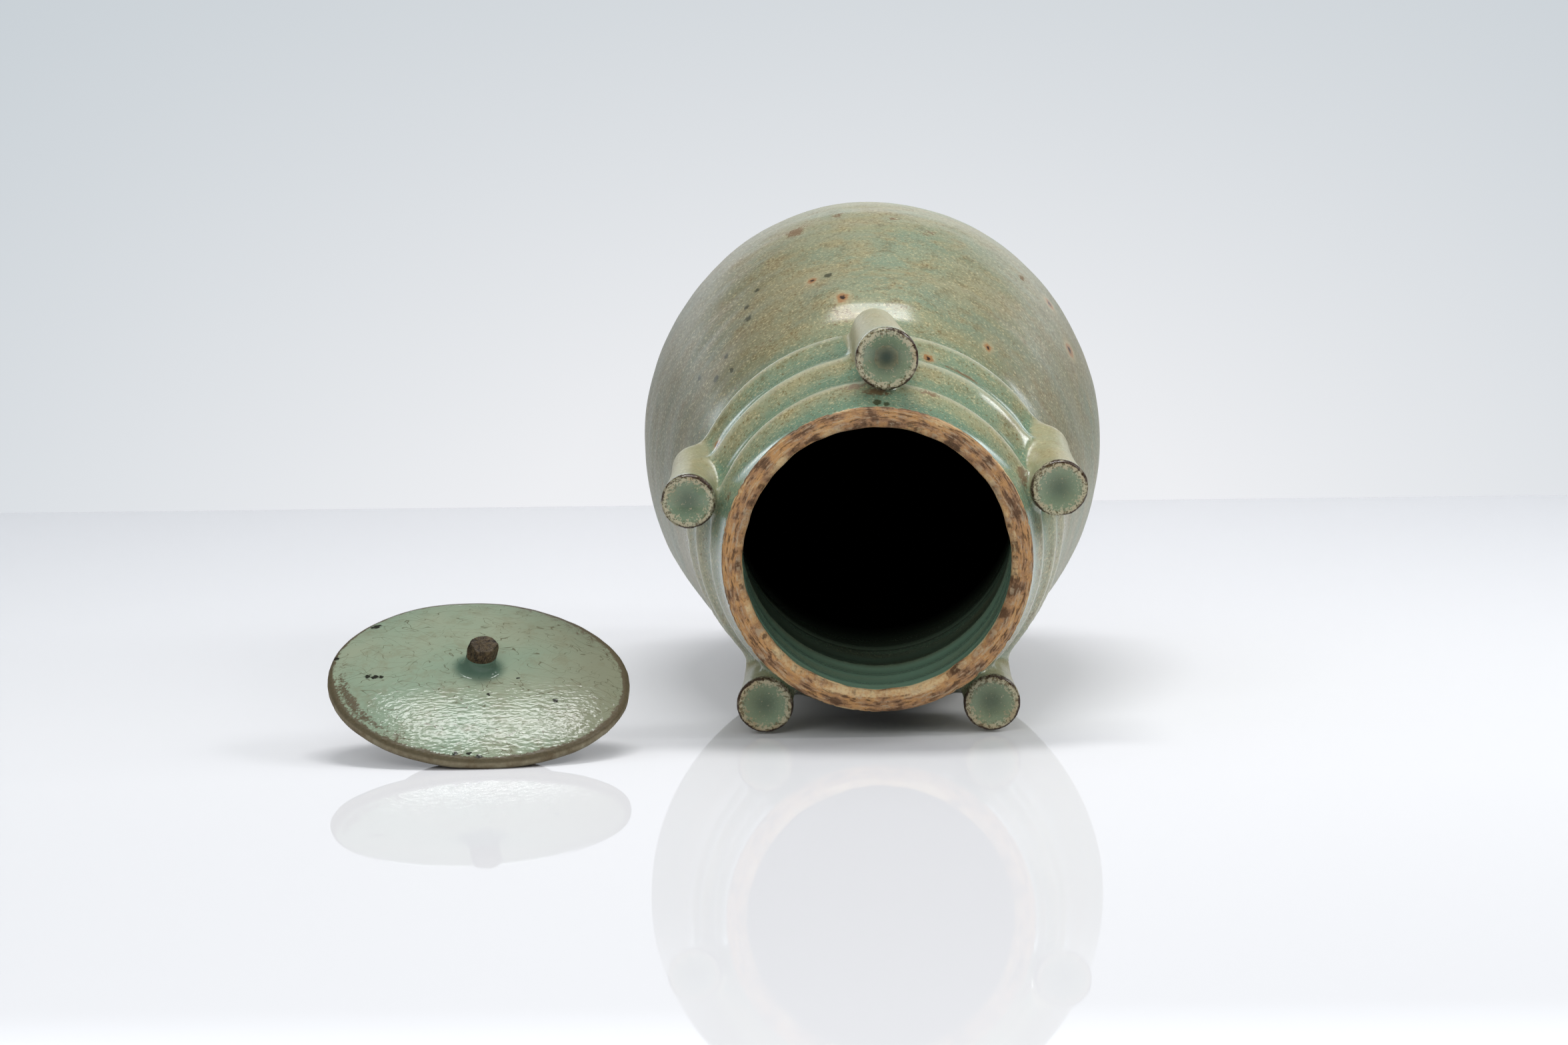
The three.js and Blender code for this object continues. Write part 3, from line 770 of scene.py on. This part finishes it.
    mouth = add(PLUS, {0: given["Bore Radius"], 1: RIM_BEVEL})
    bore = turned_wall(mouth, BORE_RADIUS + RIM_BEVEL, ((BORE_RADIUS, 3.4, 0), *BORE_STEPS))
    in_bore = add(MINUS, {0: bore, 1: across})
    clay = add(LARGER, {0: clay, 1: in_bore})
    over_rim = add(PLUS, {0: height, 1: RIM_GAP})
    under_seam = add(MINUS, {0: -SHOULDER_DEPTH - SEAM_LAP, 1: height})
    clay = add(LARGER, {0: clay, 1: over_rim})
    clay = add(LARGER, {0: clay, 1: under_seam})

    # The box that the cells fill, with a little room round the spouts.
    reach = 69.0
    low, high = (-reach, -reach, -SHOULDER_DEPTH - 3), (reach, reach, 3)
    band = add(TIMES, {0: given["Cell"], 1: 3.0})
    outer_band = add(TIMES, {0: band, 1: -1.0})
    fill = add(RANGE, {0: clay, 1: band, 2: outer_band})
    cells = {
        f"Resolution {axis}": add(OVER, {0: top - bottom, 1: given["Cell"]})
        for axis, bottom, top in zip("XYZ", low, high)
    }
    volume = add("GeometryNodeVolumeCube", {"Density": fill, "Min": low, "Max": high, **cells})
    mesh = add("GeometryNodeVolumeToMesh", {"Volume": volume, "Threshold": 0.5}, resolution_mode="GRID")
    real = add("GeometryNodeRealizeInstances", {0: mesh})
    coated = add("GeometryNodeSetMaterial", {"Geometry": real, "Material": given["Material"]})
    add("NodeGroupOutput", {"Geometry": coated})
    return tree


def grown(name, tree, **settings):
    """The mesh that a node tree makes with the given settings, as a plain mesh."""
    carrier = bpy.data.objects.new(name, bpy.data.meshes.new(name))
    bpy.context.scene.collection.objects.link(carrier)
    modifier = carrier.modifiers.new(name, "NODES")
    modifier.node_group = tree
    for socket in tree.interface.items_tree:
        if socket.in_out == "INPUT" and socket.name in settings:
            modifier[socket.identifier] = settings[socket.name]
    shape = bpy.data.meshes.new_from_object(carrier.evaluated_get(bpy.context.evaluated_depsgraph_get()))
    bpy.data.objects.remove(carrier)
    return shape


def relaxed(points, faces, rounds):
    """Points drawn part of the way to the middle of their neighbours, which takes out the cells' steps."""
    edges = np.array([(face[i - 1], face[i]) for i in range(4) for face in faces if len(face) > i])
    edges = np.vstack([edges, edges[:, ::-1]])
    count = np.bincount(edges[:, 0], minlength=len(points))[:, None]
    for _ in range(rounds):
        sums = [np.bincount(edges[:, 0], points[edges[:, 1], k], len(points)) for k in range(3)]
        total = np.stack(sums, axis=1)
        points = 0.4 * points + 0.6 * total / count
    return points


def make_neck(material):
    shape = grown("neck_grown", neck_tree(), **NECK_RULE, Material=material)
    points = np.empty(len(shape.vertices) * 3)
    shape.vertices.foreach_get("co", points)
    points = points.reshape(-1, 3)
    faces = [tuple(polygon.vertices) for polygon in shape.polygons]
    points = relaxed(points, faces, 3)
    _, depth, radius = round_jar(points)
    crests = [(RIM_RADIUS, -1), *(ridge[:2] for ridge in RIDGES), (SHOULDER_RADIUS, SHOULDER_DEPTH)]
    outer = np.interp(depth, *np.array(crests).T[::-1])
    marks = jar_marks(points)
    bay_ends = [0.0, *(ridge[1] for ridge in RIDGES), 82.0]
    share = np.zeros(len(points))
    for start, end in zip(bay_ends[:-1], bay_ends[1:]):
        inside_bay = (depth >= start) & (depth < end)
        share[inside_bay] = (depth[inside_bay] - start) / (end - start)
    ragged = 0.18 * wander(points, 9.0, 2.0) + 0.1 * wander(points, 3.0, 4.0)
    pool = 1 - eased(share + ragged, 0.3, 0.95)
    ridge = np.full(len(points), 99.0)
    for _, end, _ in RIDGES:
        nearer = (np.abs(depth - end) < np.abs(ridge)) & (np.abs(radius - outer) < 2.2)
        ridge = np.where(nearer, depth - end, ridge)
    edge, dish, near = np.full(len(points), 99.0), np.zeros(len(points)), np.full(len(points), 99.0)
    for end, root, tube, hollow, *_ in spout_places():
        inward = np.array((root - end).normalized())
        from_end = points - np.array(end)
        along = from_end @ inward
        from_line = np.linalg.norm(from_end - along[:, None] * inward, axis=1)
        near = np.minimum(near, np.where(along > -1, from_line - tube, 99))
        face = (along < 4.4) & (from_line < tube + 1)
        dark = min(0.27 * hollow, 1) * (1 - eased(from_line, 0.4, 0.72 * tube))
        dish = np.where(face, np.maximum(dish, dark), dish)
        edge = np.where(along < 3, np.minimum(edge, from_line - tube), edge)
    on_spout = 1 - eased(near, -0.6, 0.6)
    joint = np.exp(-(((near - 1.2) / 2.2) ** 2)) * (np.abs(radius - outer) < 5)
    marks["pool"] = np.clip(pool * (1 - on_spout) + 0.5 * joint + 0.1 * on_spout, 0, 1)
    marks["ridge"] = np.where(on_spout > 0.5, 99, ridge)
    marks["stain"] = marks["stain"] * (1 - 0.9 * on_spout)
    marks["edge"] = edge
    marks["tube"] = on_spout * eased(depth, 9, 14)
    marks["dish"] = dish
    in_bore = radius < outer - 4.4
    # Painted shade in the bore, black with depth.
    marks["inside"] = np.where(in_bore, np.interp(depth, *zip(*PAINTED_INTERIOR_SHADE)), 0)
    steps = np.interp(depth, *zip(*JADE_STEPS))
    jade = np.clip(steps + 0.4 * wander(points * [0.3, 0.3, 1], 6.0, 50.0), 0, 1)
    marks["mouth"] = np.where(in_bore, jade, 0)
    nodes = ("ridged_neck", "spout_top", "spout_upper_left", "spout_lower_left", "spout_lower_right")
    nodes = (*nodes, "spout_upper_right")
    finished("neck_skin", points, faces, JAR, material, "jar", nodes, marks)


def make_rim(material):
    profile = np.array([
        (RIM_RADIUS - 1.5, 2.6),
        (RIM_RADIUS + 0.1, 1.5),
        (RIM_RADIUS + 0.15, 0.9),
        (RIM_RADIUS - 0.1, 0.35),
        (RIM_RADIUS - 0.7, 0.05),
        (RIM_FLAT_IN, 0.12),
        (39.7, 0.5),
        (38.9, 1.2),
        (38.3, 2.0),
        (BORE_RADIUS - 0.15, 2.9),
        (BORE_RADIUS + 0.1, 3.6),
        (BORE_RADIUS + 1.5, 3.2),
    ])
    profile = spaced(profile, 0.32)
    profile[:, 1] *= -1
    points, faces = turned(profile, AROUND["rim"])
    _, depth, radius = round_jar(points)
    flat = np.c_[points[:, :2] / radius[:, None] * 40, np.zeros(len(points))]
    # The lip is hand-cut: its width wanders, and its outer edge is chipped.
    inner = 1 - eased(radius, 38.0, 40.5)
    outer = eased(radius, 42.6, 43.9)
    chips = np.clip(wander(flat, 2.1, 3.0) - 0.25, 0, 1) * 1.5
    chips = chips + np.clip(wander(flat, 0.9, 8.0) - 0.15, 0, 1) * 0.6
    shift = inner * (0.5 * wander(flat, 16.0, 6.0) + 0.3 * wander(flat, 6.0, 7.0)) - outer * chips * 0.5
    top = 1 - eased(depth, 0.6, 2.4)
    drop = top * (0.16 * wander(points, 5.0, 12.0) + 0.1 * wander(points, 1.6, 14.0) - 0.35 * outer * chips)
    points[:, :2] *= (1 + shift / radius)[:, None]
    points[:, 2] += drop - 0.18 * top
    cream = np.clip(1 - eased(radius, 39.4, 41.2) + 0.7 * eased(radius, 42.9, 43.9), 0, 1)
    finished("rim_edge", points, faces, JAR, material, "jar", (), {"cream": cream})


def make_foot(material):
    top = JAR_HEIGHT - FOOT_HEIGHT
    profile = np.array([
        (FOOT_RADIUS - 7.4, top - 1),
        (FOOT_RADIUS - 6.9, JAR_HEIGHT - 2),
        (FOOT_RADIUS - 6.2, JAR_HEIGHT - 0.3),
        (FOOT_RADIUS - 5.4, JAR_HEIGHT),
        (FOOT_RADIUS - 0.6, JAR_HEIGHT),
        (FOOT_RADIUS + 0.4, JAR_HEIGHT - 0.6),
        (FOOT_RADIUS + 0.5, JAR_HEIGHT - 2),
        (FOOT_RADIUS + 0.1, top + 2),
        (FOOT_RADIUS + 0.6, top - 0.4),
        (FOOT_RADIUS - 2, top - 2),
    ])
    profile = spaced(profile, 0.9)
    profile[:, 1] *= -1
    points, faces = turned(profile, AROUND["foot"])
    finished("foot", points, faces, JAR, material, "jar", ("foot_ring",))


def make_plate(glaze):
    share = np.linspace(1, 0.12, 60)
    dome = np.c_[COVER_RADIUS * share, COVER_EDGE + COVER_RISE * (1 - share**3.2)]
    turn = np.linspace(0, np.pi / 2, 14)
    fillet = np.c_[
        KNOB_FOOT_RADIUS - (KNOB_FOOT_RADIUS - KNOB_RADIUS) * np.sin(turn),
        KNOB_BASE + KNOB_FOOT_HEIGHT * (1 - np.cos(turn)),
    ]
    dome = dome[dome[:, 0] > KNOB_FOOT_RADIUS + 1]
    edge = [
        (0, 0),
        (COVER_RADIUS - 1.2, 0),
        (COVER_RADIUS - 0.4, 0.3),
        (COVER_RADIUS, 0.9),
        (COVER_RADIUS + 0.1, 1.8),
        (COVER_RADIUS - 0.2, 2.5),
    ]
    profile = np.vstack([edge, dome[1:], fillet, [(0, KNOB_BASE + KNOB_FOOT_HEIGHT + 0.3)]])
    points, faces = turned(spaced(profile, 0.7), AROUND["cover"])
    radius, height = np.hypot(points[:, 0], points[:, 1]), points[:, 2]
    rim = eased(radius, 36, 42)
    sway = 0.35 * wander(points, 16.0, 4.0) + 0.12 * wander(points, 3.0, 6.0)
    grow = 1 + rim * sway / np.maximum(radius, 1)
    leaning = KNOB_LEAN * eased(height, KNOB_BASE, KNOB_BASE + KNOB_HEIGHT)
    points[:, :2] *= grow[:, None]
    points[:, 0] += leaning
    angle = np.degrees(np.arctan2(points[:, 1], points[:, 0]))
    left, far_right, front = lobe(angle, 200, 48), lobe(angle, 30, 50), lobe(angle, 270, 70)
    band = np.exp(-(((radius - 38.4) / 2.2) ** 2))
    wear = 0.75 * eased(radius, 39.8, 42.0) + left * 0.62 * band + far_right * 0.5 * eased(radius, 29, 40)
    wear += front * 0.25 * eased(radius, 38, 41)
    marks = {
        "wear": np.clip(wear, 0, 1.2),
        "pool": 0.9 * (1 - eased(radius + 0.5 * wander(points, 5.0, 3.0), 5.0, 8.6)),
        "bare": 1 - eased(height, 1.9 + 0.3 * wander(points, 5.0), 2.7),
        "stain": eased(points[:, 0] + 6 * wander(points, 20.0), 5, 34) * 0.7,
    }
    finished("cover_skin", points, faces, COVER, glaze, "cover", ("cover_plate",), marks)


def make_stub(stub):
    """What is left of the knob: a short post, ragged and cut by the faces of its break."""
    stub_top = KNOB_BASE + KNOB_HEIGHT
    low = KNOB_BASE + 2.4
    profile = np.array([
        (0, low),
        (KNOB_RADIUS - 0.2, low),
        (KNOB_RADIUS - 0.1, low + 1.2),
        (KNOB_RADIUS + 0.2, stub_top - 2.0),
        (KNOB_RADIUS - 0.1, stub_top - 0.3),
        (KNOB_RADIUS - 0.3, stub_top),
        (0, stub_top),
    ])
    points, faces = turned(spaced(profile, 0.22), AROUND["stub"])
    broken = eased(points[:, 2], low + 0.8, low + 2.2)
    ragged = 0.55 * wander(points, 2.6, 2.0) + 0.3 * wander(points, 1.1, 9.0)
    side = np.hypot(points[:, 0], points[:, 1])
    points[:, :2] *= (1 + 0.35 * broken * ragged / np.maximum(side, 2))[:, None]
    for direction, reach in KNOB_BREAKS:
        direction = np.array(direction) / np.linalg.norm(direction)
        over = np.clip((points - [0, 0, KNOB_BASE]) @ direction - reach, 0, None) * broken
        points -= over[:, None] * direction
    points += 0.12 * (broken * wander(points, 0.9, 20.0))[:, None]
    points[:, 0] += KNOB_LEAN * eased(points[:, 2], KNOB_BASE, stub_top)
    finished("knob_stub", points, faces, COVER, stub, "cover", ("cover_knob",))


def make_collar(clay):
    collar_points = corners_of("cover_collar") @ np.array(COVER_AXIS)
    reach = (COVER.translation.dot(COVER_AXIS) - collar_points.min()) / MM
    profile = np.array([
        (COLLAR_RADIUS - COLLAR_WALL, 0.3),
        (COLLAR_RADIUS - COLLAR_WALL, 0.6 - reach),
        (COLLAR_RADIUS - COLLAR_WALL + 0.6, -reach),
        (COLLAR_RADIUS - 0.6, -reach),
        (COLLAR_RADIUS, 0.6 - reach),
        (COLLAR_RADIUS, 0.3),
    ])
    points, faces = turned(spaced(profile, 0.8), AROUND["collar"])
    finished("collar", points, faces, COVER, clay, "cover", ("cover_collar",))


def white_board():
    """Glossy white board, with painted shade making it a little greyer where it meets the backdrop."""
    made, add = new_material("glossy_white_board")
    place = add("ShaderNodeTexCoord").outputs["Object"]
    parts = add("ShaderNodeSeparateXYZ", {0: place})
    far = add(RANGE, {0: parts.outputs["Y"], 1: -0.05, 2: BACKDROP_Y, 4: 0.9})
    tone = add(MIX, {0: far, 6: colour("#d4d4d6"), 7: colour("#cecfd3")})
    lit = add("ShaderNodeBsdfPrincipled", {"Base Color": tone, "Roughness": 0.02, "IOR": 1.08})
    add("ShaderNodeOutputMaterial", {"Surface": lit})
    return made


def white_paper():
    """Backdrop paper that glows for the camera and in reflections: a cool white with painted shade, darker
    higher up and falling off towards the upper corners.
    """
    made, add = new_material("white_backdrop_paper")
    place = add("ShaderNodeTexCoord").outputs["Object"]
    parts = add("ShaderNodeSeparateXYZ", {0: place})
    height = add(RANGE, {0: parts.outputs["Z"], 1: 0.0, 2: 0.24})
    tone = add(MIX, {0: height, 6: colour("#eff0f3"), 7: colour("#dadee2")})
    away = add(VECTOR, {0: place, 1: (0.04, BACKDROP_Y, -0.05)}, operation="DISTANCE")
    corner = add(RANGE, {0: away, 1: 0.15, 2: 0.5, 4: 0.6})
    tone = add(MIX, {0: corner, 6: tone, 7: colour("#bcc6cd")})
    plain = add("ShaderNodeBsdfDiffuse", {"Color": colour("#e6e8ea")})
    # In reflections only, the paper glows brightest just above the picture, a painted reflection for the
    # glaze's top edge; above that it ends, and to the sides it falls off.
    rise = add(RANGE, {0: parts.outputs["Z"], 1: 0.23, 2: 0.27, 3: 1.0, 4: 3.8})
    end = add(RANGE, {0: parts.outputs["Z"], 1: 0.3, 2: 0.345, 3: 1.0, 4: 0.03})
    sideways = add(UNSIGNED, {0: parts.outputs["X"]})
    beside = add(RANGE, {0: sideways, 1: 0.36, 2: 0.6, 3: 1.0, 4: 0.15})
    mirrored = add(TIMES, {0: rise, 1: end})
    mirrored = add(TIMES, {0: mirrored, 1: beside})
    path = add("ShaderNodeLightPath")
    strength = add(MIX, {0: path.outputs["Is Glossy Ray"], 2: 1.0, 3: mirrored}, data_type="FLOAT")
    glow = add("ShaderNodeEmission", {"Color": tone, "Strength": strength})
    rays = {0: path.outputs["Is Camera Ray"], 1: path.outputs["Is Glossy Ray"]}
    seen = add(LARGER, rays)
    both = add("ShaderNodeMixShader", {0: seen, 1: plain, 2: glow})
    # Seen from behind, the paper hides nothing.
    behind = add("ShaderNodeNewGeometry").outputs["Backfacing"]
    clear = add("ShaderNodeBsdfTransparent")
    sided = add("ShaderNodeMixShader", {0: behind, 1: both, 2: clear})
    add("ShaderNodeOutputMaterial", {"Surface": sided})
    return made


def make_stage():
    """The board that the pieces lie on, and the paper hung behind it."""
    size = 2.0
    front, crease, top = (-size, 0), (BACKDROP_Y, 0), (BACKDROP_Y, size)
    for name, start, end, material in (
        ("board", front, crease, white_board()),
        ("backdrop", crease, top, white_paper()),
    ):
        corners = [(-size, *start), (size, *start), (size, *end), (-size, *end)]
        mesh = bpy.data.meshes.new(name)
        mesh.from_pydata(corners, [], [(0, 1, 2, 3)])
        mesh.materials.append(material)
        sheet = bpy.data.objects.new(name, mesh)
        bpy.context.scene.collection.objects.link(sheet)


def make_lights():
    """A broad softbox overhead and a little behind, two small ones right, a fill in front, and a dim room."""
    world = bpy.data.worlds.new("studio")
    world.use_nodes = True
    world.node_tree.nodes.clear()
    add = partial(add_node, world.node_tree)
    path = add("ShaderNodeLightPath")
    # The room is dim only in reflections, as dark curtains would make it where the glaze mirrors the room.
    strength = add(RANGE, {0: path.outputs["Is Glossy Ray"], 3: 0.62, 4: 0.1})
    room = add("ShaderNodeBackground", {"Color": colour("#eef1f5"), "Strength": strength})
    add("ShaderNodeOutputWorld", {"Surface": room})
    bpy.context.scene.world = world
    for name, place, target, size, power, mirrored in (
        ("softbox", (-0.03, 0.28, 1.05), (0.0, 0.05, 0.0), (0.56, 0.23), 7.8, True),
        ("side_softbox", (0.82, -0.23, 0.73), (0.0, 0.05, 0.05), (0.24, 0.24), 2, True),
        ("kicker", (0.85, 0.20, 0.64), (0.0, 0.05, 0.05), (0.24, 0.36), 3.2, True),
        ("front_fill", (-0.3, -1.2, 0.55), (0.0, 0.0, 0.0), (0.9, 0.6), 8, False),
    ):
        lamp = bpy.data.lights.new(name, "AREA")
        lamp.shape = "RECTANGLE"
        lamp.size, lamp.size_y = size
        lamp.energy = power
        box = bpy.data.objects.new(name, lamp)
        box.location = MOUTH_CENTRE + Vector(place)
        box.visible_glossy = mirrored
        box.rotation_euler = (Vector(place) - Vector(target)).to_track_quat("Z", "Y").to_euler()
        bpy.context.scene.collection.objects.link(box)


def make_camera():
    lens = bpy.data.cameras.new("camera")
    lens.lens = CAMERA_LENS
    lens.sensor_width = 36
    camera = bpy.data.objects.new("camera", lens)
    look = Euler((math.radians(90 - CAMERA_PITCH), 0, math.radians(CAMERA_YAW))).to_matrix()
    roll = Euler((0, 0, math.radians(CAMERA_ROLL))).to_matrix()
    camera.matrix_world = (look @ roll).to_4x4()
    on_board = Vector((MOUTH_CENTRE.x, MOUTH_CENTRE.y, 0))
    camera.location = on_board + MM * Vector((CAMERA_RIGHT, -CAMERA_BACK, CAMERA_HEIGHT))
    bpy.context.scene.collection.objects.link(camera)
    bpy.context.scene.camera = camera


jar_skin = jar_glaze()
clay = stoneware("orange_brown_stoneware", "#ac8253", "#8b6a4d", "#4a3422", "#ccb68c", "#a6967c")
broken = stoneware("broken_stoneware", "#4e4029", "#34291a", "#150f07", "#6b5d45", "#5d5340")
make_body(jar_skin)
make_neck(jar_skin)
make_rim(clay)
make_foot(clay)
make_plate(cover_celadon())
make_stub(broken)
make_collar(clay)

make_stage()
make_lights()
make_camera()
bpy.context.scene.view_settings.view_transform = "Standard"
